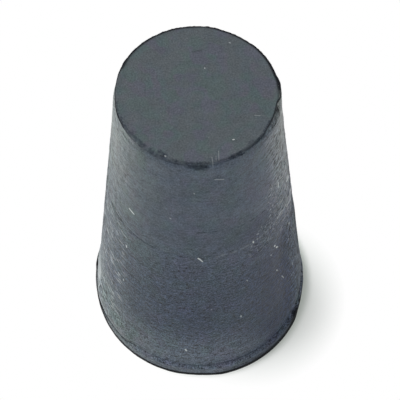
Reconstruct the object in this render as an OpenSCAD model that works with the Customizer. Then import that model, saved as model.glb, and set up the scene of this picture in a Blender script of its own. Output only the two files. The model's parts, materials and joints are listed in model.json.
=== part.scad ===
// Solid rubber stopper: a tapered plug moulded in one piece, for closing a flask or a tube.
// It stands on its large end. Z is the axis of the taper, and the origin is the centre of the
// large end's face. The whole plug is one section turned about Z, in millimetres.

/* [Plug] */
// Length from the large end's face to the small end's face
plug_length = 25.4; // [20:0.1:40]
// Diameter of the small end's face
small_end_d = 9.8; // [8:0.1:12.5]
// Diameter that the straight taper reaches at the large end's face
large_end_d = 15.45; // [14:0.05:22]

/* [Foot lip] */
// Height of the lip round the large end
lip_height = 1.35; // [0.9:0.05:3]
// How far the lip stands out past the taper's foot
lip_overhang = 0.22; // [0.1:0.02:0.6]
// Radius of the lip's upper corner
lip_shoulder_r = 0.25; // [0.1:0.05:0.4]
// Radius of the lip's lower corner, where it meets the large end's face
lip_foot_r = 0.15; // [0.05:0.05:0.4]
// Radius of the crease that the mould's joint leaves between the lip and the taper
crease_r = 0.1; // [0.05:0.01:0.2]

/* [Trimmed rim] */
// Thickness of the sharp flange at the small end, where the moulding flash was torn off
flange_t = 0.14; // [0.05:0.01:0.5]
// Height of the rough neck below the flange
neck_height = 0.34; // [0.1:0.02:0.8]
// Depth of the neck below the taper
neck_depth = 0.09; // [0.04:0.01:0.3]

/* [Seat ring] */
// Height of the ring that a flask's mouth has pressed into the taper
seat_ring_z = 15.6; // [5:0.1:19]
// Width of that ring
seat_ring_w = 0.4; // [0.2:0.05:0.8]
// Depth of that ring
seat_ring_depth = 0.05; // [0.02:0.01:0.15]

/* [Hidden] */

rubber_black = [0.2, 0.21, 0.23];
section_fn = 48; // facets on each corner and groove of the section
turn_fn = 144;   // facets round the axis

small_end_r = small_end_d / 2;
large_end_r = large_end_d / 2;

// Radius of the straight taper at a height above the large end's face
function taper_r(z) = large_end_r + (small_end_r - large_end_r) * z / plug_length;

// Radius of the circle that leaves a groove of this width and depth in a flat side
function groove_r(width, depth) = (width * width / 4 + depth * depth) / (2 * depth);

lip_r = taper_r(lip_height) + lip_overhang;

// Half section of the plain taper, from the axis out to its side
module taper_section() {
    polygon([[0, 0], [large_end_r, 0], [small_end_r, plug_length], [0, plug_length]]);
}

// Half section of the foot lip, a low land with a round shoulder and a round foot
module lip_section() {
    square([lip_r - lip_shoulder_r, lip_height]);
    translate([0, lip_foot_r])
        square([lip_r, lip_height - lip_shoulder_r - lip_foot_r]);
    translate([lip_r - lip_shoulder_r, lip_height - lip_shoulder_r])
        circle(r = lip_shoulder_r, $fn = section_fn);
    translate([lip_r - lip_foot_r, lip_foot_r])
        circle(r = lip_foot_r, $fn = section_fn);
}

// Crease where the taper runs into the top of the lip
module crease_cut() {
    translate([taper_r(lip_height), lip_height])
        circle(r = crease_r, $fn = section_fn);
}

// Neck below the flange of the small end, with a slanting floor that fades into the taper
module neck_cut() {
    neck_top = plug_length - flange_t;
    neck_foot = neck_top - neck_height;
    polygon([
        [taper_r(neck_top) - neck_depth, neck_top],
        [taper_r(neck_foot), neck_foot],
        [taper_r(neck_foot) + neck_depth, neck_top],
    ]);
}

// Shallow round-bottomed groove of the seat ring
module seat_ring_cut() {
    cutter_r = groove_r(seat_ring_w, seat_ring_depth);
    translate([taper_r(seat_ring_z) + cutter_r - seat_ring_depth, seat_ring_z])
        circle(r = cutter_r, $fn = section_fn);
}

module stopper() {
    color(rubber_black)
        rotate_extrude($fn = turn_fn)
            difference() {
                union() {
                    taper_section();
                    lip_section();
                }
                crease_cut();
                neck_cut();
                seat_ring_cut();
            }
}

stopper();
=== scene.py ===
import json
import math

import bpy
from mathutils import Matrix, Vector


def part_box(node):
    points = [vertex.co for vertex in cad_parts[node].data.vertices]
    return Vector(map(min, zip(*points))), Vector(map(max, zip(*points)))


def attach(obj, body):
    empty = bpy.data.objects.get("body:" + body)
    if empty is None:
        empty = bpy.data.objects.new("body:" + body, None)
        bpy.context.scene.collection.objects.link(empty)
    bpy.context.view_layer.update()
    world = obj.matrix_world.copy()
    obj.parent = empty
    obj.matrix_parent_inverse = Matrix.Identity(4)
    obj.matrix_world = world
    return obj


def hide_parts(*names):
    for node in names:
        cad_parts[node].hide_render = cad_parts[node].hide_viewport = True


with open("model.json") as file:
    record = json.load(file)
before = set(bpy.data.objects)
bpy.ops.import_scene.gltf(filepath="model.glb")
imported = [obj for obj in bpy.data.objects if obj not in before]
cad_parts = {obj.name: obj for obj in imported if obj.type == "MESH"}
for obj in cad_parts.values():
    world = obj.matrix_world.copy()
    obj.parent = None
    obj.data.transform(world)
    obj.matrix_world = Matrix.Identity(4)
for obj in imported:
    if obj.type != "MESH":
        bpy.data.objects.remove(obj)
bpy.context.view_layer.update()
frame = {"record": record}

# -----------------------------------------------------------------------------
# Sizes of the plug, in metres. Azimuth 0 faces the camera and grows to its right, in degrees.
# -----------------------------------------------------------------------------
MM = 0.001
stopper_low, stopper_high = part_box("stopper")
MOUNTS = {mount["name"]: mount for mount in frame["record"]["mounts"]}

PLUG_LENGTH = stopper_high.z
LIP_R = (stopper_high.x - stopper_low.x) / 2
SEAT_RING_Z = MOUNTS["taper_seat"]["pos_m"][2]
SMALL_END_R = 4.9 * MM      # the taper's radius at the small end's face
LARGE_END_R = 7.725 * MM    # the radius that the straight taper reaches at the large end's face
LIP_HEIGHT = 1.35 * MM
LIP_SHOULDER_R = 0.25 * MM
CREASE_R = 0.1 * MM
FLANGE_T = 0.14 * MM        # the sharp flange where the moulding flash was torn off
NECK_HEIGHT = 0.34 * MM
NECK_DEPTH = 0.09 * MM
SEAT_RING_W = 0.4 * MM
SEAT_RING_DEPTH = 0.05 * MM
NECK_TOP = PLUG_LENGTH - FLANGE_T

TURN_STEPS = 480            # facets round the axis
ARC_STEPS = 4               # facets on each small corner of the section
FOOT_RINGS = 7              # rings of faces on the large end, and then on the small end
FACE_RINGS = 12
LIP_ROWS = 6                # rows of faces on the lip's wall, then on the neck and the flange
NECK_ROWS = 6
FLANGE_ROWS = 3
SIDE_STEP = 0.25 * MM       # height of a row of faces on the plain taper
FINE_STEP = 0.06 * MM       # and at the seat ring and the torn rim
RING_ZONE = 0.5 * MM        # half height of the finely divided zone round the seat ring
RIM_ZONE = 0.5 * MM         # width of the finely divided zone round the torn rim
POLE_R = 0.3 * MM           # radius of the innermost ring of each end face
FOOT_EDGE_R = 0.05 * MM     # the lip's foot is sharper than it was moulded
RIM_LINE = 0.16 * MM        # width of the worn line along the flange's upper edge
RIM_MOST = 0.2 * MM         # how far the flange stands out where it was torn longest
CREASE_END = 96             # angle at which the crease's arc meets the taper, in degrees
SHARP_ANGLE = math.radians(50)
SAME_PLACE = 0.01 * MM      # points closer than this count as one
SAME_SIZE = 1e-9            # and so do rings whose sizes differ by less than this share


def taper_r(height):
    """Radius of the straight taper at a height."""
    return LARGE_END_R + (SMALL_END_R - LARGE_END_R) * height / PLUG_LENGTH


def azimuth(place):
    """Azimuth of a place round the axis, in degrees."""
    return math.degrees(math.atan2(place.x, -place.y))


def from_axis(place):
    """How far a place lies from the axis."""
    return math.hypot(place.x, place.y)


def smooth(value, low, high):
    """0 below low, 1 above high and a smooth step between them."""
    share = min(max((value - low) / (high - low), 0.0), 1.0)
    return share * share * (3 - 2 * share)


def band(value, low, high, fade):
    """1 from low to high, fading to 0 over a width outside each of them."""
    return smooth(value, low - fade, low) * (1 - smooth(value, high, high + fade))


def stretches(turn, parts):
    """What the stretches round the plug add up to at an azimuth."""
    return sum(amount * band(turn, start, end, fade) for start, end, fade, amount in parts)


# -----------------------------------------------------------------------------
# Modelling
# -----------------------------------------------------------------------------
def deselect_all():
    """Leaves edit mode and deselects everything."""
    if bpy.context.mode != "OBJECT":
        bpy.ops.object.mode_set(mode="OBJECT")
    bpy.ops.object.select_all(action="DESELECT")


def steps(start, end, count):
    """The values from start to end in equal steps, without start."""
    return [start + (end - start) * (i + 1) / count for i in range(count)]


def arc(centre_r, centre_z, radius, start, end):
    """Points of a round corner of the section, from one angle to another in degrees."""
    angles = [math.radians(a) for a in steps(start, end, ARC_STEPS)]
    return [(centre_r + radius * math.cos(a), centre_z + radius * math.sin(a)) for a in angles]


def side_rows(bottom, top, step):
    """Points of a stretch of the taper, in rows about a step apart."""
    count = math.ceil((top - bottom) / step)
    return [(taper_r(z), z) for z in steps(bottom, top, count)]


def plug_section():
    """Half section of the plug from the large end's centre round to the small end's centre."""
    foot_r = LIP_R - FOOT_EDGE_R
    shoulder_r = LIP_R - LIP_SHOULDER_R
    shoulder_z = LIP_HEIGHT - LIP_SHOULDER_R
    crease_top = LIP_HEIGHT + CREASE_R
    ring_low = SEAT_RING_Z - RING_ZONE
    ring_high = SEAT_RING_Z + RING_ZONE
    neck_foot = NECK_TOP - NECK_HEIGHT
    flange_r = SMALL_END_R + RIM_MOST
    neck_r = taper_r(NECK_TOP) - NECK_DEPTH
    rim_r = SMALL_END_R - RIM_ZONE
    rim_rings = math.ceil(RIM_ZONE / FINE_STEP)

    section = [(r, 0) for r in [POLE_R] + steps(POLE_R, foot_r, FOOT_RINGS)]
    section += arc(foot_r, FOOT_EDGE_R, FOOT_EDGE_R, -90, 0)
    section += [(LIP_R, z) for z in steps(FOOT_EDGE_R, shoulder_z, LIP_ROWS)]
    section += arc(shoulder_r, shoulder_z, LIP_SHOULDER_R, 0, 90)
    section += arc(taper_r(LIP_HEIGHT), LIP_HEIGHT, CREASE_R, 360, CREASE_END)
    section += side_rows(crease_top, ring_low, SIDE_STEP)
    section += side_rows(ring_low, ring_high, FINE_STEP)
    section += side_rows(ring_high, neck_foot, SIDE_STEP)
    neck_radii = steps(taper_r(neck_foot), neck_r, NECK_ROWS)
    section += list(zip(neck_radii, steps(neck_foot, NECK_TOP, NECK_ROWS)))
    section += [(r, NECK_TOP) for r in steps(neck_r, flange_r, FLANGE_ROWS)]
    section += [(flange_r, z) for z in steps(NECK_TOP, PLUG_LENGTH, FLANGE_ROWS)]
    section += [(r, PLUG_LENGTH) for r in steps(flange_r, rim_r, rim_rings)]
    section += [(r, PLUG_LENGTH) for r in steps(rim_r, POLE_R, FACE_RINGS)]
    return section


def turn_section(name, section):
    """A solid of revolution: a circle is extruded and resized along a half section."""
    deselect_all()
    radius, height = section[0]
    bpy.ops.mesh.primitive_circle_add(vertices=TURN_STEPS, radius=radius, location=(0, 0, height))
    piece = bpy.context.object
    piece.name = piece.data.name = name
    bpy.ops.object.transform_apply()
    bpy.ops.object.mode_set(mode="EDIT")
    bpy.ops.mesh.select_all(action="SELECT")
    for next_radius, next_height in section[1:]:
        rise = (0, 0, next_height - height)
        bpy.ops.mesh.extrude_region_move(TRANSFORM_OT_translate={"value": rise})
        growth = next_radius / radius
        if abs(growth - 1) > SAME_SIZE:
            centre = (0, 0, next_height)
            bpy.ops.transform.resize(value=(growth, growth, 1), center_override=centre)
        radius, height = next_radius, next_height
    bpy.ops.mesh.merge(type="CENTER")
    close_pole(piece, section[0])
    bpy.ops.mesh.select_all(action="SELECT")
    bpy.ops.mesh.normals_make_consistent(inside=False)
    bpy.ops.object.mode_set(mode="OBJECT")
    return piece


def close_pole(piece, first_point):
    """Merges the ring that the section started from into one vertex at the axis."""
    radius, height = first_point
    bpy.ops.mesh.select_all(action="DESELECT")
    bpy.ops.object.mode_set(mode="OBJECT")
    for vertex in piece.data.vertices:
        near_axis = from_axis(vertex.co) < radius + SAME_PLACE
        vertex.select = near_axis and abs(vertex.co.z - height) < SAME_PLACE
    bpy.ops.object.mode_set(mode="EDIT")
    bpy.ops.mesh.merge(type="CENTER")


def weigh(piece, name, weight_at):
    """Gives each point of the surface its weight for the modifier of the same name."""
    group = piece.vertex_groups.new(name=name)
    for vertex in piece.data.vertices:
        weight = weight_at(vertex.co)
        if weight > 0:
            group.add([vertex.index], weight, "REPLACE")


def apply_weighed(piece, modifier):
    """Applies a modifier where the group of its own name is above 0."""
    modifier.vertex_group = modifier.name
    bpy.context.view_layer.objects.active = piece
    bpy.ops.object.modifier_apply(modifier=modifier.name)
    piece.vertex_groups.clear()


def press(piece, name, weight_at, depth, texture=None, direction="NORMAL"):
    """Presses the surface in by a depth times its weight, and by a texture if one is given."""
    weigh(piece, name, weight_at)
    modifier = piece.modifiers.new(name, "DISPLACE")
    modifier.strength = -depth
    modifier.direction = direction
    modifier.mid_level = 0.0
    if texture:
        modifier.texture = texture
        modifier.texture_coords = "LOCAL"
    apply_weighed(piece, modifier)


def draw_to(piece, name, weight_at, radius):
    """Draws the surface in or out to a radius round the axis, by the weight at each place."""
    weigh(piece, name, weight_at)
    modifier = piece.modifiers.new(name, "CAST")
    modifier.cast_type = "CYLINDER"
    modifier.factor = 1.0
    modifier.use_radius_as_size = False
    modifier.size = radius
    apply_weighed(piece, modifier)


def clouds(name, size, depth=2):
    """A cloud texture whose lumps are about a size across."""
    texture = bpy.data.textures.new(name, "CLOUDS")
    texture.noise_scale = size
    texture.noise_depth = depth
    return texture


def paint(piece, name, value_at):
    """Keeps a value at each point of the surface, for the material to read."""
    attribute = piece.data.attributes.new(name, "FLOAT", "POINT")
    for vertex in piece.data.vertices:
        attribute.data[vertex.index].value = value_at(vertex.co)


# -----------------------------------------------------------------------------
# Forms that moulding, trimming and use left on the plug
# -----------------------------------------------------------------------------
LIP_MOST = 0.09 * MM        # how far the lip's spread stretch stands out from its nominal edge
FOOT_MOST = 0.15 * MM       # how far the taper's foot is full where the lip is narrow
TORN_DEPTH = 0.1 * MM
SLACK_SIDE = 0.06 * MM
SLACK_FACE = 0.03 * MM
SLACK_LIP = 0.02 * MM
CHIPPED_LIP = 0.04 * MM
FULL_FLANK = 0.1 * MM
ROUGH_FLANK = 0.07 * MM

TORN_LUMPS = 0.16 * MM      # sizes of the lumps that the surface is pressed in by
EDGE_LUMPS = 0.3 * MM
FLANK_LUMPS = 0.3 * MM
CHIP_LUMPS = 0.8 * MM
FACE_WAVES = 2.0 * MM
LIP_WAVES = 2.5 * MM
SIDE_WAVES = 3.0 * MM

RIM_USUAL = 0.035 * MM      # how far the flange stands out from the taper
TORN_INSET = 0.06 * MM      # how far the torn band reaches in over the face, and down the side
TORN_DROP = 0.24 * MM
TORN_FADE = (0.3, 1.7)      # shares of that reach where the torn band starts to fade and ends
RIM_WEAR = 0.1              # how strongly the flange's upper edge is worn all round
RIM_WEAR_BACK = 1.3         # and how much more on the far side
RIM_WIDER_BACK = 1.2        # how much wider the worn line is there, as a share of its width
BACK_RIGHT = (96, 166, 10)  # azimuths where the far side starts and ends, and its fade
BACK_MIDDLE = (166, 180)    # azimuths over which its part past the middle grows, then fades
BACK_LEFT = (-116, -106)
BACK_SHARE = 0.9            # level of that part
NECK_FADE = NECK_HEIGHT / 3

# Heights between which a form grows or fades.
SLACK_FOOT = (2 * MM, 4 * MM)
SLACK_TOP = (23.5 * MM, 24.8 * MM)
FULL_FLANK_FOOT = (LIP_HEIGHT, 3 * MM)
FULL_FLANK_TOP = (24.8 * MM, 25.3 * MM)
FULL_FOOT_START = (1.2 * MM, LIP_HEIGHT)
FULL_FOOT_BAND = (LIP_HEIGHT, 1.7 * MM, 2.5 * MM)

# Stretches round the plug: the azimuths where each starts and ends, the width of its fade beyond
# them, and what it adds.
RIM_STRETCHES = [
    (88, 98, 8, 0.11 * MM),
    (60, 80, 8, -0.13 * MM),
    (-164, -120, 10, 0.03 * MM),
    (140, 158, 9, -0.07 * MM),
    (-102, -84, 8, -0.04 * MM),
]
RIM_WEAR_FLANKS = [(-116, -66, 10, 0.65), (62, 100, 8, 0.75)]
RIM_WIDER_LEFT = [(-116, -66, 10, 0.3)]
CHIPPED_FACE = [(-50, -26, 10, 0.19 * MM)]
TORN_DROPS = [
    (-110, -60, 14, -0.14 * MM),
    (-18, 4, 7, 0.16 * MM),
    (60, 82, 8, 0.1 * MM),
]
FULL_NECK = [(-130, -58, 16, 1.0), (22, 50, 10, 0.6)]
WORN_GROOVE = [(-34, 55, 12, 0.85), (-110, -34, 12, 0.5)]
FULL_FLANKS = [(72, 116, 16, 1.0), (-116, -82, 12, 0.3)]
SPREAD_LIP = [(12, 62, 12, 1.0), (-50, -14, 12, 0.15), (-106, -97, 4, 0.6)]
FULL_FOOT = [(-112, -46, 18, 0.15), (-112, -97, 5, 0.34), (-75, -46, 8, 0.85)]
# The stretch and the band of heights of each roughened part of the flanks.
ROUGH_FLANKS = [
    ((66, 110, 12, 1.0), (12 * MM, 23 * MM, 2 * MM)),
    ((-115, -60, 12, 0.6), (3 * MM, 20 * MM, 3 * MM)),
]


def rim_reach(turn):
    """How far the flange stands out from the taper at an azimuth, as a share of the most."""
    return (RIM_USUAL + stretches(turn, RIM_STRETCHES)) / RIM_MOST


def rim_back(turn):
    """1 along the far side of the small end, where the worn line is at its widest."""
    past_middle = max(smooth(turn, *BACK_MIDDLE), 1 - smooth(turn, *BACK_LEFT))
    return band(turn, *BACK_RIGHT) + BACK_SHARE * past_middle


def rim_wear(turn):
    """How strongly the flange's upper edge is worn at an azimuth, from 0 to 1."""
    flanks = stretches(turn, RIM_WEAR_FLANKS)
    return min(RIM_WEAR + max(flanks, RIM_WEAR_BACK * rim_back(turn)), 1)


def torn_at(place):
    """1 along the edge of the small end, fading to 0 down the side and in over the face."""
    turn = azimuth(place)
    down = (PLUG_LENGTH - place.z) / (TORN_DROP + stretches(turn, TORN_DROPS))
    inward = (SMALL_END_R - from_axis(place)) / (TORN_INSET + stretches(turn, CHIPPED_FACE))
    return 1 - smooth(max(down, inward), *TORN_FADE)


def flange_at(place):
    """1 at the flange's height, fading to 0 in the neck below it."""
    return smooth(place.z, NECK_TOP - FLANGE_T / 2, NECK_TOP)


def rim_line_at(place):
    """1 on the thin worn line along the flange's upper edge, fading to 0 inside it."""
    turn = azimuth(place)
    inward = RIM_MOST + SMALL_END_R - from_axis(place)
    width = RIM_LINE * (1 + RIM_WIDER_BACK * rim_back(turn) + stretches(turn, RIM_WIDER_LEFT))
    return flange_at(place) * (1 - smooth(inward, width / 2, width)) * rim_wear(turn)


def way_down_at(place):
    """Way down the side from the small end's edge in millimetres, below 0 in over the face."""
    inward = max(SMALL_END_R - from_axis(place), 0)
    return (PLUG_LENGTH - place.z - inward) / MM


def rim_trim_at(place):
    """How much of the rim zone's width was torn or trimmed off, as a share of it."""
    in_zone = from_axis(place) > SMALL_END_R - RIM_ZONE
    share = RIM_MOST / (RIM_ZONE + RIM_MOST)
    return flange_at(place) * in_zone * share * (1 - rim_reach(azimuth(place)))


def torn_edge_at(place):
    """1 on the flange's upright edge, and 0 elsewhere."""
    return smooth(from_axis(place), SMALL_END_R - RIM_MOST, SMALL_END_R) * torn_at(place)


def full_neck_at(place):
    """1 on the neck under the flange where the rubber fills it."""
    height = band(place.z, NECK_TOP - NECK_HEIGHT, NECK_TOP, NECK_FADE)
    return height * stretches(azimuth(place), FULL_NECK)


def seat_groove_at(place):
    """Depth of the seat ring's groove, as a share of its full depth."""
    off = abs(place.z - SEAT_RING_Z) / (SEAT_RING_W / 2)
    return max(0.0, 1 - off * off) * (1 - stretches(azimuth(place), WORN_GROOVE))


def side_at(place):
    """1 on the taper between the crease and the torn rim."""
    return smooth(place.z, *SLACK_FOOT) * (1 - smooth(place.z, *SLACK_TOP))


def full_flank_at(place):
    """1 on the flank that stands out further than the plain taper."""
    height = smooth(place.z, *FULL_FLANK_FOOT) * (1 - smooth(place.z, *FULL_FLANK_TOP))
    return height * stretches(azimuth(place), FULL_FLANKS)


def rough_flank_at(place):
    """1 on the flanks where handling has roughened the skin."""
    turn = azimuth(place)
    return sum(stretches(turn, [part]) * band(place.z, *heights) for part, heights in ROUGH_FLANKS)


def lip_at(place):
    """1 on the lip's outer side, from its foot to its shoulder."""
    outside = smooth(from_axis(place), LIP_R - LIP_SHOULDER_R, LIP_R)
    return outside * (1 - smooth(place.z, LIP_HEIGHT, LIP_HEIGHT + CREASE_R))


def lip_spread_at(place):
    """How far the lip stands out at a place, as a share of the most."""
    return lip_at(place) * stretches(azimuth(place), SPREAD_LIP)


def full_foot_at(place):
    """1 where the taper's foot stands out further and leaves less of the lip to see."""
    height = band(place.z, *FULL_FOOT_BAND) * smooth(place.z, *FULL_FOOT_START)
    return height * stretches(azimuth(place), FULL_FOOT)


def face_at(place):
    """1 over the small end's face, fading to 0 at its rim."""
    top = smooth(place.z, NECK_TOP, PLUG_LENGTH)
    return top * (1 - smooth(from_axis(place), SMALL_END_R - RIM_ZONE, SMALL_END_R))


def build_stopper():
    """The plug, turned, then torn and pressed into its used form."""
    piece = turn_section("stopper_moulding", plug_section())
    paint(piece, "way_down", way_down_at)
    paint(piece, "rim_line", rim_line_at)
    press(piece, "seat_groove", seat_groove_at, SEAT_RING_DEPTH)
    draw_to(piece, "full_foot", full_foot_at, taper_r(LIP_HEIGHT) + FOOT_MOST)
    draw_to(piece, "lip_spread", lip_spread_at, LIP_R + LIP_MOST)
    draw_to(piece, "full_neck", full_neck_at, SMALL_END_R)
    draw_to(piece, "rim_trim", rim_trim_at, SMALL_END_R - RIM_ZONE)
    press(piece, "torn_rim", torn_at, TORN_DEPTH, clouds("torn_rubber", TORN_LUMPS), "Z")
    press(piece, "torn_edge", torn_edge_at, TORN_DEPTH / 2, clouds("torn_edge", EDGE_LUMPS))
    press(piece, "full_flank", full_flank_at, -FULL_FLANK)
    press(piece, "slack_side", side_at, SLACK_SIDE, clouds("slack_side", SIDE_WAVES, 1))
    press(piece, "rough_flank", rough_flank_at, ROUGH_FLANK, clouds("rough_flank", FLANK_LUMPS))
    press(piece, "slack_face", face_at, SLACK_FACE, clouds("slack_face", FACE_WAVES, 1), "Z")
    press(piece, "slack_lip", lip_at, SLACK_LIP, clouds("slack_lip", LIP_WAVES, 1))
    press(piece, "chipped_lip", lip_at, CHIPPED_LIP, clouds("chipped_lip", CHIP_LUMPS))
    bpy.ops.object.shade_smooth_by_angle(angle=SHARP_ANGLE)
    return piece


# -----------------------------------------------------------------------------
# Shader maths
# -----------------------------------------------------------------------------
class Link:
    """An output socket whose expressions add Math nodes to the material's tree."""

    def __init__(self, tree, socket=None):
        self.tree = tree
        self.socket = socket

    def node(self, kind, settings=None, values=None, out=0):
        """Adds a node: its settings first, then the values or links of its sockets."""
        added = self.tree.nodes.new("ShaderNode" + kind)
        for name, setting in (settings or {}).items():
            setattr(added, name, setting)
        for name, value in (values or {}).items():
            if isinstance(value, Link):
                self.tree.links.new(value.socket, added.inputs[name])
            else:
                added.inputs[name].default_value = value
        return Link(self.tree, added.outputs[out])

    def feeds(self, socket):
        self.tree.links.new(self.socket, socket)

    def maths(self, operation, *values):
        return self.node("Math", {"operation": operation}, dict(enumerate(values)))

    def vector(self, operation, other, out="Vector"):
        return self.node("VectorMath", {"operation": operation}, {0: self, 1: other}, out)

    def length(self):
        return self.node("VectorMath", {"operation": "LENGTH"}, {0: self}, "Value")

    def __add__(self, other):
        return self.maths("ADD", self, other)

    def __sub__(self, other):
        return self.maths("SUBTRACT", self, other)

    def __rsub__(self, other):
        return self.maths("SUBTRACT", other, self)

    def __mul__(self, other):
        return self.maths("MULTIPLY", self, other)

    def __truediv__(self, other):
        return self.maths("DIVIDE", self, other)

    def __abs__(self):
        return self.maths("ABSOLUTE", self)

    __radd__ = __add__
    __rmul__ = __mul__

    def most(self, other):
        return self.maths("MAXIMUM", self, other)

    def least(self, other):
        return self.maths("MINIMUM", self, other)

    def step(self, low, high, start=0.0, end=1.0):
        """From start at low to end at high in a smooth step; low may be the larger one."""
        ends = {"From Min": low, "From Max": high, "To Min": start, "To Max": end}
        return self.node("MapRange", {"interpolation_type": "SMOOTHSTEP"}, {"Value": self, **ends})

    def band(self, low, high, fade):
        """1 from low to high, fading to 0 over a width outside each of them."""
        return self.step(low - fade, low) * self.step(high + fade, high)

    def scaled(self, factor):
        """This vector or colour times a factor."""
        return self.node("VectorMath", {"operation": "SCALE"}, {0: self, "Scale": factor})

    def blend(self, start, end, share):
        """A colour that goes from start to end as the share goes from 0 to 1."""
        return self.node("Mix", {"data_type": "RGBA"}, {0: share, 6: start, 7: end}, out=2)

    def turned_to(self, colour, share):
        """This colour turning into another one as the share goes from 0 to 1."""
        return self.blend(self, colour, share)

    def tinted(self, cast, share):
        """This colour turning into itself times a cast as the share goes from 0 to 1."""
        return self.turned_to(self.vector("MULTIPLY", cast), share)

    def grain(self, size, detail=2.0, stretch=(1, 1, 1)):
        """Soft noise round 0, from about -0.5 to 0.5, whose lumps are about a size across."""
        scaled = self.node("Mapping", values={"Vector": self, "Scale": stretch})
        values = {"Vector": scaled, "Scale": 1 / size, "Detail": detail}
        return self.node("TexNoise", values=values) - 0.5

    def patches(self, grain, edges):
        """Patches of grain, from 0 at the first of its edge values to 1 at the second."""
        return self.grain(*grain).step(*edges)

    def specks(self, cell, size):
        """1 on round specks of a size, which lie about a cell apart in the solid."""
        nearest = self.node("TexVoronoi", values={"Vector": self, "Scale": 1 / cell}, out="Distance")
        return (nearest * cell).step(size / 2, size / 4)

    def streak(self, start, end, width, soft=0.4):
        """1 on a line between two points of this flat map, fading over a share of its width."""
        along = (end[0] - start[0], end[1] - start[1])
        half = math.hypot(*along) / 2
        way = (along[0] / half / 2, along[1] / half / 2, 0)
        side = (-way[1], way[0], 0)
        middle = ((start[0] + end[0]) / 2, (start[1] + end[1]) / 2, 0)
        off = self.vector("SUBTRACT", middle)
        past = (abs(off.vector("DOT_PRODUCT", way, "Value")) - half).most(0)
        across = off.vector("DOT_PRODUCT", side, "Value")
        away = self.maths("SQRT", past * past + across * across)
        return away.step(width * (1 + soft) / 2, width * (1 - soft) / 2)


def new_material(name):
    """An empty material with its Principled shader, and the start of its expressions."""
    material = bpy.data.materials.new(name)
    material.use_nodes = True
    tree = material.node_tree
    shader = tree.nodes["Principled BSDF"]
    return material, shader, Link(tree)


# -----------------------------------------------------------------------------
# Rubber. In the material lengths are in millimetres and turns are azimuths in degrees.
# -----------------------------------------------------------------------------
FACE_PLAIN = (0.0555, 0.0653, 0.0725, 1)    # the grey bloom on the moulded skin of the small end
FACE_GREEN = (0.0510, 0.0685, 0.071, 1)
FACE_PURPLE = (0.0590, 0.0625, 0.0765, 1)
SIDE_UPPER = (0.0600, 0.0732, 0.0985, 1)
SIDE_MIDDLE = (0.0285, 0.0400, 0.0660, 1)
SIDE_FOOT = (0.0750, 0.0910, 0.1190, 1)
GREEN_CAST = (0.94, 1.035, 0.94)
PURPLE_CAST = (1.06, 0.965, 1.02)
COOL_CAST = (0.96, 1.0, 1.04)
PAINTED_LIGHT_CAST = (1.05, 1.045, 0.875)            # painted light: the skin is less blue on the lit left side
# pale bloom, which on the flanks also stands for painted sheen where light grazes them
PALE_BLOOM_AND_SHEEN = (0.176, 0.187, 0.178, 1)
PAINTED_SHADE = (0.006, 0.013, 0.036, 1)          # painted shade: the skin darkened low on the right flank, away from the lamps, and round the seat ring
BARE_RUBBER_AND_SHADE = (0.004, 0.005, 0.007, 1)      # where the skin is rubbed off, and painted shade in the crease, the seat ring's groove and on the lip
TORN_RUBBER_AND_SHADE = (0.014, 0.019, 0.028, 1)      # where it is torn, and painted shade under the flange
# pale dust and lint, and a painted highlight low on the left flank
DUST_AND_HIGHLIGHT = (0.42, 0.44, 0.45, 1)

END_Z = PLUG_LENGTH / MM
RING_Z = SEAT_RING_Z / MM
CREASE_Z = (LIP_HEIGHT + CREASE_R / 2) / MM
LIP_EDGE_R = LIP_R / MM
RIM_R = SMALL_END_R / MM

# A step is written as the value where it is 0 and the one where it is 1. Two more numbers stand
# for that 0 and that 1. A band is written as its start, its end and the width of its fade.
FACE_EDGE = (END_Z - 0.1, END_Z - 0.04)     # heights where the small end's skin starts
UNDERSIDE_EDGE = (0.01, 0.03)               # and where the side's skin does
ABOVE_LIP = (CREASE_Z - 0.05, CREASE_Z + 0.05)      # where the side's marks start
UNDER_FACE = (END_Z - 1, END_Z - 0.5)       # and where the face's marks do
LOW_SIDE = (19, 11)                         # heights over which the skin's grain grows coarser
USED_FRONT = (150, 104)                     # turns to either hand over which the used front ends
# A grain is written as the size of its lumps, its detail and its stretch, and patches as their
# grain and a step of it.
RAGGED_ALONG = (0.12, 3.0)
RAGGED_DOWN = (0.10, 3.0, (1, 1, 1.2))
PECK_GRAIN = (0.17, 3.0, (0.8, 0.8, 1.2))
TEAR_AND_SHADE_LUMPS = 0.2
RAGGED_ALONG_BY = 0.6                       # how far the grain moves the tears along the rim
RAGGED_DOWN_BY = 0.5
TEAR_AND_SHADE_SOFT = 0.9
TEAR_AND_SHADE_LEVEL = 0.8
TEAR_AND_SHADE_UNEVEN = 1.5
# An oval of the side is written as the turn and height of its middle, its reach each way, the
# step at its edge, and its lean in millimetres up for each degree of turn.
PECKED_OVAL = ((47, 15.2), (17, 1.9), (1.2, 0.3), 0.05)
# An area of the side is written as its band of turns and its band of heights, and a corner as
# its step of turns and its step of heights.
PECKED_FLANK = [((70, 92, 7), (7, 14, 3))]

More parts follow.
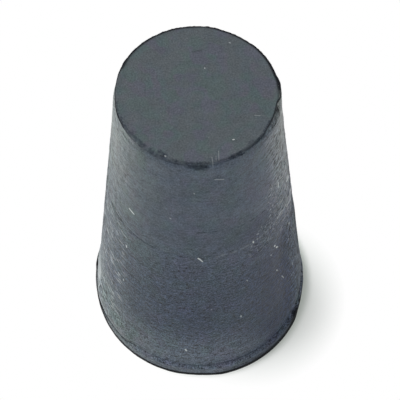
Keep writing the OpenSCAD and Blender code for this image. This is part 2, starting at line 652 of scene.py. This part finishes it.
# Lint and scratches on the side: turn and height of one end, then of the other, width, strength.
SIDE_MARKS = [
    (-80.0, 1.9, -66.0, 1.6, 0.7, 0.15),
    (11.2, 23.7, 17.2, 23.5, 0.07, 0.38),
    (-49.3, 17.97, -45.1, 17.87, 0.11, 1.0),
    (-0.6, 15.43, 0.5, 15.28, 0.11, 1.0),
    (0.5, 15.28, 1.9, 15.03, 0.09, 0.9),
    (52.2, 12.8, 52.8, 12.7, 0.13, 0.9),
    (54.0, 12.36, 54.7, 12.24, 0.13, 1.0),
    (59.6, 15.5, 70.5, 15.3, 0.08, 0.6),
    (70.5, 15.05, 80.3, 14.3, 0.12, 0.6),
    (79.7, 14.1, 81.6, 15.1, 0.16, 0.85),
    (85.3, 16.6, 75.7, 17.3, 0.14, 0.8),
    (76.5, 17.58, 80.5, 17.28, 0.18, 0.7),
    (84.0, 14.7, 87.0, 14.3, 0.20, 0.7),
    (70.5, 18.73, 65.9, 19.08, 0.07, 0.5),
    (63.2, 18.93, 62.7, 18.48, 0.12, 0.85),
    (54.1, 19.48, 55.1, 19.33, 0.10, 0.35),
    (71.0, 12.68, 73.0, 12.38, 0.14, 0.5),
    (-77.0, 8.38, -73.5, 8.28, 0.10, 0.87),
    (-77.8, 3.13, -78.8, 2.23, 0.10, 0.58),
    (74.3, 12.43, 70.2, 12.38, 0.08, 0.29),
    (35.2, 15.52, 35.4, 15.38, 0.11, 0.95),
    (-2.8, 22.48, -2.4, 22.43, 0.07, 0.4),
    (-18.4, 19.53, -17.9, 19.48, 0.08, 0.4),
    (-8.4, 3.58, -8.0, 3.43, 0.13, 0.95),
    (23.8, 7.18, 24.0, 7.03, 0.12, 0.6),
    (52.0, 9.62, 52.8, 9.42, 0.09, 0.6),
    (56.4, 8.05, 58.2, 7.5, 0.08, 0.45),
    (29.1, 11.38, 29.3, 11.28, 0.08, 0.5),
    (-50.1, 13.43, -49.7, 13.28, 0.12, 0.85),
    (-50.7, 8.93, -50.5, 8.78, 0.10, 0.6),
    (-55.7, 8.98, -54.9, 8.78, 0.10, 0.6),
    (-44.8, 6.08, -44.6, 5.93, 0.07, 0.29),
    (18.4, 4.73, 18.6, 4.63, 0.07, 0.17),
    (6.5, 9.08, 6.8, 8.98, 0.07, 0.29),
    (48.2, 12.25, 48.6, 12.15, 0.09, 0.55),
]
# The same on the small end's face: the place of one end, then of the other, width, strength.
FACE_MARKS = [
    (2.01, 3.62, 2.09, 3.58, 0.06, 0.36),
    (0.51, 1.79, 0.51, 1.74, 0.06, 0.51),
    (2.06, -3.28, 2.13, -3.26, 0.07, 0.72),
    (-0.54, 3.99, -0.53, 3.98, 0.05, 0.22),
    (3.37, -1.62, 3.70, -1.66, 0.05, 0.2),
    (3.76, -1.63, 4.00, -1.70, 0.04, 0.09),
    (-1.89, -4.29, -1.85, -4.33, 0.08, 0.36),
    (1.21, -4.04, 1.22, -4.65, 0.05, 0.17),
    (0.82, -4.45, 0.87, -4.85, 0.05, 0.17),
    (1.05, -4.35, 1.06, -4.70, 0.05, 0.12),
    (0.66, -3.10, 0.68, -3.14, 0.06, 0.09),
]
# Tears, and painted shade under the flange, along the small end's edge: turn and way down from
# the edge of one end, then of the other, width, strength. A way below 0 lies in over the face.
RIM_TEARS_AND_SHADE = [
    (-84.0, 0.02, -56.0, 0.0, 0.12, 0.9),
    (-55.0, -0.08, -36.0, -0.10, 0.29, 0.8),
    (-28.0, -0.27, -24.0, -0.18, 0.30, 1.0),
    (-36.0, -0.02, -12.0, 0.05, 0.24, 0.75),
    (-20.0, 0.09, -14.0, 0.11, 0.30, 0.95),
    (-9.5, 0.06, 6.0, 0.10, 0.26, 0.9),
    (-6.5, 0.24, 5.5, 0.32, 0.34, 1.0),
    (-2.0, 0.40, 3.5, 0.44, 0.28, 0.9),
    (8.0, -0.20, 14.0, -0.20, 0.20, 0.4),
    (14.0, 0.05, 23.0, 0.10, 0.20, 0.5),
    (23.5, 0.06, 32.0, 0.10, 0.30, 1.1),
    (33.0, 0.02, 47.0, 0.0, 0.20, 0.75),
    (41.0, -0.15, 44.0, -0.12, 0.26, 0.8),
    (46.0, 0.02, 64.0, 0.0, 0.16, 1.0),
    (51.0, 0.16, 55.0, 0.20, 0.26, 0.7),
    (64.0, 0.14, 76.0, 0.20, 0.34, 0.5),
]
# Faint dark scores on the side and dents in the face, written the same way.
SIDE_SCORES = [
    (-2.0, 18.35, 15.0, 18.3, 0.12, 0.35),
    (25.0, 18.0, 50.0, 17.9, 0.12, 0.35),
    (-75.0, 20.3, -40.0, 20.3, 0.10, 0.25),
    (-1.6, 15.75, 1.8, 15.75, 0.10, 0.3),
    (7.2, 9.0, 8.2, 8.9, 0.10, 0.4),
    (-56.0, 8.8, -54.5, 8.6, 0.12, 0.35),
    (-45.6, 6.5, -44.6, 6.4, 0.14, 0.4),
    (83.0, 13.9, 86.0, 13.5, 0.50, 0.9),
    (80.0, 16.1, 83.0, 15.9, 0.30, 0.8),
    (72.0, 17.0, 73.5, 16.6, 0.22, 0.7),
    (75.0, 19.6, 78.0, 19.2, 0.25, 0.7),
    (69.0, 20.6, 71.0, 20.3, 0.18, 0.6),
    (-86.0, 17.5, -83.0, 17.0, 0.40, 0.8),
    (-88.0, 13.0, -84.0, 12.4, 0.40, 0.8),
]
FACE_SCORES = [
    (-0.20, 2.97, 0.32, 3.06, 0.14, 0.3),
    (2.06, -3.41, 2.14, -3.40, 0.07, 0.3),
    (-2.15, -4.25, -1.95, -4.33, 0.08, 0.5),
]


class Surface:
    """Where a place lies on the plug: flat maps, and shares that are 1 where their names say."""

    def __init__(self, tree):
        metres = tree.node("TexCoord", out="Object")
        self.place = metres.scaled(1 / MM)
        x, y, self.z = [tree.node("SeparateXYZ", values={0: self.place}, out=axis) for axis in "XYZ"]
        self.turn = tree.maths("ARCTAN2", x, y * -1) * math.degrees(1)
        self.radius = tree.maths("SQRT", x * x + y * y)
        self.on_face = self.z.step(*FACE_EDGE)
        self.on_side = (1 - self.on_face) * self.z.step(*UNDERSIDE_EDGE)
        self.before = abs(self.turn).step(*USED_FRONT)
        self.low = self.z.step(*LOW_SIDE)
        around = self.turn * self.radius * math.radians(1)
        self.side_map = tree.node("CombineXYZ", values={"X": around, "Y": self.z})
        self.face_map = tree.node("CombineXYZ", values={"X": x, "Y": y})
        self.rim_map = self.ragged_map(tree)
        self.rim_line = tree.node("Attribute", {"attribute_name": "rim_line"}, out="Fac")
        self.pecks = self.place.grain(*PECK_GRAIN)
        self.pecked = self.oval(*PECKED_OVAL).most(self.areas(PECKED_FLANK)) * self.on_side

    def ragged_map(self, tree):
        """A flat map of the small end's edge: the way along it and the way down, both ragged."""
        down = tree.node("Attribute", {"attribute_name": "way_down"}, out="Fac")
        along = self.turn * math.radians(RIM_R)
        ragged_along = along + self.place.grain(*RAGGED_ALONG) * RAGGED_ALONG_BY
        ragged_down = down + self.place.grain(*RAGGED_DOWN) * RAGGED_DOWN_BY
        return tree.node("CombineXYZ", values={"X": ragged_along, "Y": ragged_down})

    def flanks(self, start, end):
        """1 on both flanks of the used front, from a start to an end of turns to either hand."""
        return abs(self.turn).step(start, end) * self.on_side * self.before

    def oval(self, middle, reach, edge, lean=0.0):
        """1 in an oval of the side, fading to 0 at its edge."""
        aside = self.turn - middle[0]
        above = self.z - middle[1]
        if lean:
            above = above - aside * lean
        along = aside / reach[0]
        across = above / reach[1]
        return (along * along + across * across).step(*edge)

    def stretches(self, parts):
        """What the stretches round the plug add up to."""
        return sum(self.turn.band(start, end, fade) * amount for start, end, fade, amount in parts)

    def areas(self, parts):
        """1 on areas of the side, each a band of turns and a band of heights."""
        return sum(self.turn.band(*turns) * self.z.band(*heights) for turns, heights in parts)

    def corners(self, parts):
        """What parts of the side add up to, each a step of the turn times a step of the height."""
        return sum(self.turn.step(*turns) * self.z.step(*heights) for turns, heights in parts)

    def side_marks(self, marks):
        """The strength of the strongest of the side's marks at a place."""
        most = 0
        for turn, height, other_turn, other_height, width, strength in marks:
            start = (math.radians(turn) * taper_r(height * MM) / MM, height)
            end = (math.radians(other_turn) * taper_r(other_height * MM) / MM, other_height)
            most = (self.side_map.streak(start, end, width) * strength).most(most)
        return most * (1 - self.on_face) * self.z.step(*ABOVE_LIP)

    def rim_tears_and_shade(self, tears):
        """The strength of the strongest tear or painted shade at a place along the small end's edge.
        """
        most = 0
        for turn, down, other_turn, other_down, width, strength in tears:
            start = (math.radians(turn) * RIM_R, down)
            end = (math.radians(other_turn) * RIM_R, other_down)
            most = (self.rim_map.streak(start, end, width, TEAR_AND_SHADE_SOFT) * strength).most(most)
        return most * (TEAR_AND_SHADE_LEVEL + self.place.grain(TEAR_AND_SHADE_LUMPS) * TEAR_AND_SHADE_UNEVEN)

    def face_marks(self, marks):
        """The strength of the strongest of the face's marks at a place."""
        most = 0
        for x, y, other_x, other_y, width, strength in marks:
            most = (self.face_map.streak((x, y), (other_x, other_y), width) * strength).most(most)
        return most * self.z.step(*UNDER_FACE)


# Patches of the skin that are greener, more purple or cooler than the rest, then its shades.
FACE_GREENISH = ((1.2, 1.0), (-0.05, 0.12))
FACE_PURPLISH = ((1.0, 1.0, (1.1, 1, 1)), (0.02, 0.15))
SIDE_GREENISH = ((1.5, 1.0, (1, 1, 0.8)), (0.0, 0.15))
SIDE_PURPLISH = ((1.3, 1.0, (1.1, 1, 0.8)), (0.03, 0.16))
COOLER = ((1.0, 2.0, (1.3, 1, 1)), (-0.1, 0.12))
SHADES = (2.2, 1.0)
SHADES_DEPTH = 0.4
# The side's tones, and the parts of it darkened as painted shade.
RIGHT_HAND = (15, 45)
LEFT_HAND = (-10, -50)
UPPER_SKIN = (8, 22)
FOOT_SKIN = (7, 2)
FOOT_SKIN_DROP = 2.5                # how much lower the foot's tone starts on the right
PAINTED_SHADE_START = (22, 52)
PAINTED_SHADE_END = (72, 58)
PAINTED_SHADE_HEIGHTS = (4, 11, 4)
PAINTED_SHADE_MOST = 0.95
PAINTED_SHADE_AT_RING = [((36, 58, 12), (14.4, 17.2, 1.5))]
PAINTED_SHADE_AT_RING_MOST = 0.28
# Bloom and painted sheen: corners on the left, up on the right and low on the right; its step behind.
BLOOM_AND_SHEEN = [
    ((-36, -74), (16, 23, 0.10, 0.48)),
    ((46, 80), (15, 24, 0, 0.7)),
    ((60, 84), (15, 10, 0, 0.2)),
]
BLOOM_BEHIND = (13, 24, 0.04, 0.18)
BLOOM_AND_SHEEN_GRAIN = (1.2, 3.0)
BLOOM_AND_SHEEN_UNEVEN = 1.2


def skin_colour(tree, at):
    """The moulded skin on the face and on the side, with the side's painted shade, light and sheen."""
    skin = face_skin(tree, at).turned_to(side_skin(tree, at), at.on_side)
    return skin.tinted(COOL_CAST, at.place.patches(*COOLER))


def face_skin(tree, at):
    """The skin of both ends, mottled."""
    skin = tree.blend(FACE_PLAIN, FACE_GREEN, at.place.patches(*FACE_GREENISH))
    return skin.turned_to(FACE_PURPLE, at.place.patches(*FACE_PURPLISH))


def side_skin(tree, at):
    """The side's skin: greyer near both ends, with painted shade, light and sheen, and mottled."""
    right = at.turn.step(*RIGHT_HAND) * at.before
    skin = tree.blend(SIDE_MIDDLE, SIDE_UPPER, at.z.step(*UPPER_SKIN))
    skin = skin.turned_to(SIDE_FOOT, (at.z + FOOT_SKIN_DROP * right).step(*FOOT_SKIN))
    # Painted shade: the skin is darkened low on the right flank and round the seat ring, where little
    # light falls.
    painted_shade_right = at.turn.step(*PAINTED_SHADE_START) * at.turn.step(*PAINTED_SHADE_END)
    painted_shade_right = painted_shade_right * at.z.band(*PAINTED_SHADE_HEIGHTS) * PAINTED_SHADE_MOST
    skin = skin.turned_to(PAINTED_SHADE, painted_shade_right + at.areas(PAINTED_SHADE_AT_RING) * PAINTED_SHADE_AT_RING_MOST)
    # Painted light: the left side, which faces the lamps, is made less blue.
    skin = skin.tinted(PAINTED_LIGHT_CAST, at.turn.step(*LEFT_HAND) * at.before)
    skin = skin.tinted(GREEN_CAST, at.place.patches(*SIDE_GREENISH))
    skin = skin.tinted(PURPLE_CAST, at.place.patches(*SIDE_PURPLISH))
    skin = skin.scaled(1 + at.place.grain(*SHADES) * SHADES_DEPTH)
    return skin.turned_to(PALE_BLOOM_AND_SHEEN, bloom_and_sheen_share(at))


def bloom_and_sheen_share(at):
    """Where bloom and painted sheen lie on the side: high up, on both flanks and a little behind."""
    # Painted sheen: the flanks are paled as grazing light would brighten them; behind, it is bloom
    # alone.
    bloom = at.corners(BLOOM_AND_SHEEN) * at.before + at.z.step(*BLOOM_BEHIND) * (1 - at.before)
    return bloom * (1 + at.place.grain(*BLOOM_AND_SHEEN_GRAIN) * BLOOM_AND_SHEEN_UNEVEN)


# The skin's grains: how strong each is everywhere, and what each part of the plug adds.
FINE_GRAIN = (0.10, 1.0)
FINE_ALL = 1.1
FINE_SIDE = 0.3
FINE_LOW = 2.4
FINE_FLANK = 0.8
COARSE_GRAIN = (0.22, 2.0, (0.5, 1, 1))
COARSE_ALL = 0.8
COARSE_LOW = 1.3
LUMP_GRAIN = (0.7, 2.0, (1, 1.2, 1))
LUMPS_ALL = 0.3
LUMPS_SIDE = 0.4
RUBBED_GRAIN = (0.22, 3.0, (0.45, 1, 1))
RUBBED_ALL = 3.6
RUBBED_RIGHT = [((40, 64), (15, 11, 0, 4.4)), ((40, 64), (14, 16, 0, 2.6))]
GRAINY_FLANKS = (35, 70)
SMOOTH_LEFT = [((-30, -50), (15, 19, 0, 0.2))]      # where the flanks' grain is weaker


def speckle(at):
    """Fine light and dark grain of the skin, round 0, coarser low on the side and on its flanks."""
    low = at.low * at.on_side
    flank = at.flanks(*GRAINY_FLANKS) * (1 - at.corners(SMOOTH_LEFT))
    fine_level = FINE_ALL + FINE_SIDE * at.on_side + FINE_LOW * low + FINE_FLANK * flank
    coarse_level = (COARSE_ALL + COARSE_LOW * low) * at.on_side * at.before
    rubbed_level = flank * (RUBBED_ALL + at.corners(RUBBED_RIGHT))
    fine = at.place.grain(*FINE_GRAIN) * fine_level
    coarse = at.side_map.grain(*COARSE_GRAIN) * coarse_level
    lumps = at.place.grain(*LUMP_GRAIN) * (LUMPS_ALL + LUMPS_SIDE * at.on_side)
    return fine + coarse + lumps + at.side_map.grain(*RUBBED_GRAIN) * rubbed_level


# Black painted on the lip as shade: how far up it reaches from the foot, and where its wall is dim.
FOOT_REACH = 0.3
FOOT_REACH_BEFORE = 0.16            # what the used front adds to it
FOOT_REACHES = [
    (-180, -52, 14, 0.1),
    (-104, -74, 18, 0.6),
    (40, 180, 26, 0.12),
    (42, 60, 10, 0.15),
    (64, 86, 12, 0.65),
]
FOOT_LUMPS = 0.4
FOOT_UNEVEN = 0.12
FOOT_EDGE = (0.08, -0.08)
LIP_OUTSIDE = (7.4, 7.6)            # radii between which the lip's wall starts
LIP_CORNER = (LIP_EDGE_R - 0.18, LIP_EDGE_R - 0.14)
LIP_CORNER_TOP = (CREASE_Z, LIP_HEIGHT / MM)
LIP_CORNER_TURNS = (-104, -72, 16)
DIM_WALL = (1.5, 0.7)               # heights over which the lip's wall dims
DIM_WALL_ALL = 0.15
DIM_WALL_PARTS = [
    (30, 180, 25, 0.45),
    (50, 180, 14, 0.15),
    (74, 180, 12, -0.6),
]
# Black painted as shade on the side, in the crease and in the seat ring's groove.
CREASE_EDGE = (0.07, 0.02)
CREASE_ALL = 0.02
CREASE_PARTS = [(15, 35, 8, 0.1)]
RING_LUMPS = 0.5
RING_UNEVEN = 0.1
RING_EDGE = (0.12, 0.04)
RING_PARTS = [(-70, -32, 8, 0.35), (-8, 8, 8, 0.15)]
SOILED = [((87, 104, 9), (8, 20, 3)), ((-106, -87, 10), (9, 20, 3))]
SOILED_PATCHES = ((0.6, 2.0), (0.0, 0.12))
SOILED_MOST = 0.7
SCORE_BREAKS = ((0.25, 2.0), (-0.08, 0.08))
DARK_PECKS = (0.06, 0.18, 0, 0.6)


def bare_and_shade_share(at):
    """Black: worn edges, soiled parts and scores, and painted shade in the crease, seat ring and lip.
    """
    # Painted shade: the crease above the lip and the seat ring's groove are darkened.
    creased = abs(at.z - CREASE_Z).step(*CREASE_EDGE)
    crease = creased * (CREASE_ALL + at.stretches(CREASE_PARTS))
    ringed = abs(at.z - RING_Z + at.place.grain(RING_LUMPS) * RING_UNEVEN).step(*RING_EDGE)
    ring = ringed * at.stretches(RING_PARTS)
    soiled = at.areas(SOILED) * at.place.patches(*SOILED_PATCHES) * SOILED_MOST
    broken_scores = at.side_marks(SIDE_SCORES) * at.place.patches(*SCORE_BREAKS)
    scores = broken_scores.most(at.face_marks(FACE_SCORES))
    dark_pecks = at.pecks.step(*DARK_PECKS) * at.pecked
    # Worn edges, soiled parts and dark pecks, with the painted shade of the ring.
    worn = at.rim_line.most(ring).most(soiled).most(dark_pecks)
    return worn.most(painted_lip_shade(at)).most(crease).most(scores)


def painted_lip_shade(at):
    """Where black is painted on the lip as shade: up from its foot, on its corner and on its wall."""
    # Painted shade: the lip's foot by the floor, a dark line on its left corner, and its wall on the
    # right away from the lamps.
    reach = FOOT_REACH + (FOOT_REACH_BEFORE + at.stretches(FOOT_REACHES)) * at.before
    reach = reach + at.place.grain(FOOT_LUMPS) * FOOT_UNEVEN
    outside = at.radius.step(*LIP_OUTSIDE)
    foot = (at.z - reach).step(*FOOT_EDGE) * outside
    corner = at.radius.step(*LIP_CORNER) * at.z.step(*LIP_CORNER_TOP)
    corner = corner * at.turn.band(*LIP_CORNER_TURNS)
    wall = at.z.step(*DIM_WALL) * outside * (DIM_WALL_ALL + at.stretches(DIM_WALL_PARTS))
    return foot.most(corner).most(wall)


# Dust, and a painted highlight. Specks are written as the distance between them and their size.
SPECKS = (1.2, 0.07)
SPECKS_MOST = 0.2
FLANK_SPECKS = (0.42, 0.10)
FLANK_SPECKS_MOST = 0.5
DUSTY_FLANKS = (40, 70)
SCUFF_OVAL = ((62, 18.3), (16, 2.0), (1.2, 0.4))
SCUFF = ((0.16, 3.0, (0.8, 0.8, 1.2)), (0.05, 0.16))
SCUFF_MOST = 0.42
LIGHT_PECKS = (-0.08, -0.2, 0, 0.5)
PALE_RING_DROP = 0.15               # how far below the ring's middle the pale line lies
PALE_RING_BAND = (-0.05, 0.05, 0.1)
PALE_RING_BREAKS = ((0.3,), (-0.1, 0.1))
PALE_RING_PARTS = [(14, 56, 8, 0.16), (59, 74, 3, 0.4)]
SCRATCHED = [((-120, -58, 14), (3.5, 15, 2)), ((66, 120, 12), (14, 21, 2))]
SCRATCHES = ((0.22, 1.0, (0.25, 1, 1)), (0.06, 0.18))
SCRATCHES_MOST = 0.4
# A painted highlight low on the left flank, where light from the left grazes the skin.
PAINTED_FOOT_HIGHLIGHT = [((-88, -83, 8), (2.6, 3.6, 2.0))]
PAINTED_FOOT_HIGHLIGHT_GRAIN = (0.5, 3.0)
PAINTED_FOOT_HIGHLIGHT_LEVEL = 0.36
PAINTED_FOOT_HIGHLIGHT_UNEVEN = 1.2


def dust_and_highlight_share(at):
    """Pale dust and lint, and a painted highlight: specks, the scuffed patch, the seat ring and the
    marks.
    """
    specks = at.place.specks(*SPECKS) * SPECKS_MOST
    flank_specks = at.place.specks(*FLANK_SPECKS) * at.flanks(*DUSTY_FLANKS) * FLANK_SPECKS_MOST
    scuff = at.oval(*SCUFF_OVAL) * at.place.patches(*SCUFF) * SCUFF_MOST
    light_pecks = at.pecks.step(*LIGHT_PECKS) * at.pecked
    scratches = at.side_map.patches(*SCRATCHES) * at.areas(SCRATCHED) * SCRATCHES_MOST
    # The marks include the painted highlight low on the left flank.
    marks = at.side_marks(SIDE_MARKS).most(at.face_marks(FACE_MARKS)).most(painted_foot_highlight(at))
    worn = scuff.most(pale_ring_line(at)).most(scratches).most(light_pecks)
    return specks.most(flank_specks).most(worn).most(marks)


def pale_ring_line(at):
    """A broken pale line along the seat ring, just below its middle."""
    below = (at.z - RING_Z + PALE_RING_DROP).band(*PALE_RING_BAND)
    return below * at.place.patches(*PALE_RING_BREAKS) * at.stretches(PALE_RING_PARTS)


def painted_foot_highlight(at):
    """A painted highlight: a pale patch low on the left flank, where light from the left grazes it."""
    uneven = at.place.grain(*PAINTED_FOOT_HIGHLIGHT_GRAIN) * PAINTED_FOOT_HIGHLIGHT_UNEVEN
    return at.areas(PAINTED_FOOT_HIGHLIGHT) * (PAINTED_FOOT_HIGHLIGHT_LEVEL + uneven)


# Gloss and bumps of the rubber.
RUBBER_SPECULAR = 0.16
ROUGHNESS = 0.42
ROUGHNESS_LUMPS = 0.3
ROUGHNESS_UNEVEN = 0.2
ROUGHER_BARE_AND_SHADE = 0.55
ROUGHER_DULL = 0.25
DULL_RIGHT = [((50, 75), (15, 12))]
BUMP_DEPTH = 0.012 * MM
PITS = (0.45, 0.12)
PITS_DEPTH = 0.5
STREAK_GRAIN = (0.5, 3.0, (0.4, 0.4, 2.5))
STREAKS_ALL = 0.2
STREAKS_LOW = 0.4
GRAIN_HEIGHT = 0.8
DUST_HEIGHT = 0.5


def rubber_material():
    """Black rubber with its grey moulded skin, worn, torn and dusty, with painted shade, light and
    sheen.
    """
    material, shader, tree = new_material("black_rubber")
    shader.inputs["Specular IOR Level"].default_value = RUBBER_SPECULAR
    at = Surface(tree)
    # Black where the skin is worn off, and black painted as shade in the crease, the ring and on the
    # lip.
    bare_and_shade = bare_and_shade_share(at)
    # Torn rubber, and painted shade under the flange along the small end's edge.
    torn = at.rim_tears_and_shade(RIM_TEARS_AND_SHADE)
    # Pale dust and lint, and a painted highlight low on the left flank.
    dust = dust_and_highlight_share(at)
    grain = speckle(at)

    skin = skin_colour(tree, at).scaled(1 + grain)
    colour = skin.turned_to(TORN_RUBBER_AND_SHADE, torn).turned_to(BARE_RUBBER_AND_SHADE, bare_and_shade).turned_to(DUST_AND_HIGHLIGHT, dust)
    colour.feeds(shader.inputs["Base Color"])
    rubber_roughness(at, bare_and_shade.most(torn)).feeds(shader.inputs["Roughness"])
    rubber_bumps(tree, at, grain, dust).feeds(shader.inputs["Normal"])
    return material


def rubber_roughness(at, bare_and_shade):
    """Rougher where skin is gone or shade is painted, and where handling has dulled it low on the
    right.
    """
    uneven = at.place.grain(ROUGHNESS_LUMPS) * ROUGHNESS_UNEVEN
    dull = at.corners(DULL_RIGHT) * at.on_side * at.before
    return ROUGHNESS + uneven + bare_and_shade * ROUGHER_BARE_AND_SHADE + dull * ROUGHER_DULL


def rubber_bumps(tree, at, grain, dust):
    """Raised grain and dust, streaks down the side and pits low on it."""
    pits = at.place.specks(*PITS) * at.low
    streaks = at.place.grain(*STREAK_GRAIN) * (STREAKS_ALL + STREAKS_LOW * at.low)
    height = streaks + grain * GRAIN_HEIGHT - pits * PITS_DEPTH + dust * DUST_HEIGHT
    values = {"Strength": 1.0, "Distance": BUMP_DEPTH, "Height": height}
    return tree.node("Bump", values=values, out="Normal")


# -----------------------------------------------------------------------------
# Room: camera, floor, lamps and world
# -----------------------------------------------------------------------------
CAMERA_BACK = 44.43 * MM
CAMERA_HEIGHT = 92.40 * MM
CAMERA_PITCH = 60.98         # degrees below the horizon
CAMERA_YAW = 0.141
CAMERA_ROLL = -0.764
CAMERA_LENS = 121.8          # on a 36 mm sensor
CAMERA_CLIP_START = 5 * MM
FLOOR_SIZE = 2.0
FLOOR_COLOUR = (0.90, 0.97, 0.91, 1)
FLOOR_GLOW = 0.37            # share of plain white in what is seen directly of the floor near the plug
FLOOR_DIM = (3.7 * MM, -1.5 * MM, 0)    # the middle of the part of the floor that isn't seen as white
FLOOR_NEAR = 4.5 * MM        # how far from there the white starts to grow
FLOOR_FAR = 7.3 * MM         # and where it is plain white
FLOOR_DARK = (0.4 * MM, 0.1 * MM, 0)    # the middle of where the plug's own shadow is seen as it is
FLOOR_TOUCH = 7.5 * MM       # how far from there the white starts to show
FLOOR_BESIDE = 8.25 * MM     # and where it is in full
WORLD_LEVEL = 0.15           # light that the world gives the object; seen directly it is white
WHITE = (1, 1, 1, 1)
LAMP_DISTANCE = 0.6
# Azimuth and height of each lamp in degrees, its size in metres, and its level: 1 lights a
# surface that faces the lamp so that its colour renders as written.
LAMPS = {
    "key": (-90, 35, 0.45, 0.95),
    "back_left": (-135, 35, 0.45, 0.95),
    "front_right": (45, 45, 0.35, 0.42),
}


def make_camera():
    data = bpy.data.cameras.new("camera")
    data.lens = CAMERA_LENS
    data.clip_start = CAMERA_CLIP_START
    camera = bpy.data.objects.new("camera", data)
    bpy.context.collection.objects.link(camera)
    turn = Matrix.Rotation(math.radians(-CAMERA_YAW), 4, "Z")
    tilt = Matrix.Rotation(math.radians(90 - CAMERA_PITCH), 4, "X")
    roll = Matrix.Rotation(math.radians(CAMERA_ROLL), 4, "Z")
    place = Matrix.Translation((0, -CAMERA_BACK, CAMERA_HEIGHT))
    camera.matrix_world = place @ turn @ tilt @ roll
    bpy.context.scene.camera = camera


def seen_directly(tree):
    """1 for rays from the camera, from gloss and through glass, which see the plain background."""
    kinds = ["Is Camera Ray", "Is Glossy Ray", "Is Transmission Ray"]
    camera, gloss, glass = [tree.node("LightPath", out=kind) for kind in kinds]
    return (camera + gloss + glass).least(1)


def make_floor():
    deselect_all()
    bpy.ops.mesh.primitive_plane_add(size=FLOOR_SIZE, location=(0, 0, 0))
    floor = bpy.context.object
    floor.name = "floor"
    floor.data.materials.append(floor_material())


def floor_material():
    """Pale paper that is seen as plain white away from the plug's shadow."""
    material, shader, tree = new_material("pale_floor")
    place = tree.node("TexCoord", out="Object")
    away = place.vector("SUBTRACT", FLOOR_DIM).length()
    values = {"Value": away, "From Min": FLOOR_NEAR, "From Max": FLOOR_FAR, "To Min": FLOOR_GLOW}
    glow = tree.node("MapRange", values=values)
    paper = tree.node("BsdfDiffuse", values={"Color": FLOOR_COLOUR})
    white = tree.node("Emission", values={"Color": WHITE, "Strength": 1.0})
    beside = place.vector("SUBTRACT", FLOOR_DARK).length()
    glow = glow * beside.step(FLOOR_TOUCH, FLOOR_BESIDE)
    seen = tree.node("MixShader", values={"Fac": seen_directly(tree) * glow, 1: paper, 2: white})
    output = tree.tree.nodes["Material Output"]
    tree.tree.links.new(seen.socket, output.inputs["Surface"])
    tree.tree.nodes.remove(shader)
    return material


def make_world():
    """A world that is seen as plain white and lights the object by much less."""
    world = bpy.data.worlds.new("soft_room")
    world.use_nodes = True
    bpy.context.scene.world = world
    tree = Link(world.node_tree)
    background = world.node_tree.nodes["Background"]
    background.inputs["Color"].default_value = WHITE
    strength = seen_directly(tree) * (1 - WORLD_LEVEL) + WORLD_LEVEL
    world.node_tree.links.new(strength.socket, background.inputs["Strength"])


def make_lamps():
    for name, (turn, height, size, level) in LAMPS.items():
        data = bpy.data.lights.new(name, "AREA")
        data.size = size
        data.energy = level * (math.pi * LAMP_DISTANCE) ** 2
        lamp = bpy.data.objects.new(name, data)
        bpy.context.collection.objects.link(lamp)
        swing = Matrix.Rotation(math.radians(turn), 4, "Z")
        tilt = Matrix.Rotation(math.radians(90 - height), 4, "X")
        lamp.matrix_world = swing @ tilt @ Matrix.Translation((0, 0, LAMP_DISTANCE))


def place_stopper():
    """The plug with its rubber, in the place of its CAD node."""
    piece = build_stopper()
    piece.data.materials.clear()
    piece.data.materials.append(rubber_material())
    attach(piece, "root")
    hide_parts("stopper")


bpy.context.scene.view_settings.view_transform = "Standard"
make_camera()
make_floor()
make_world()
make_lamps()
place_stopper()
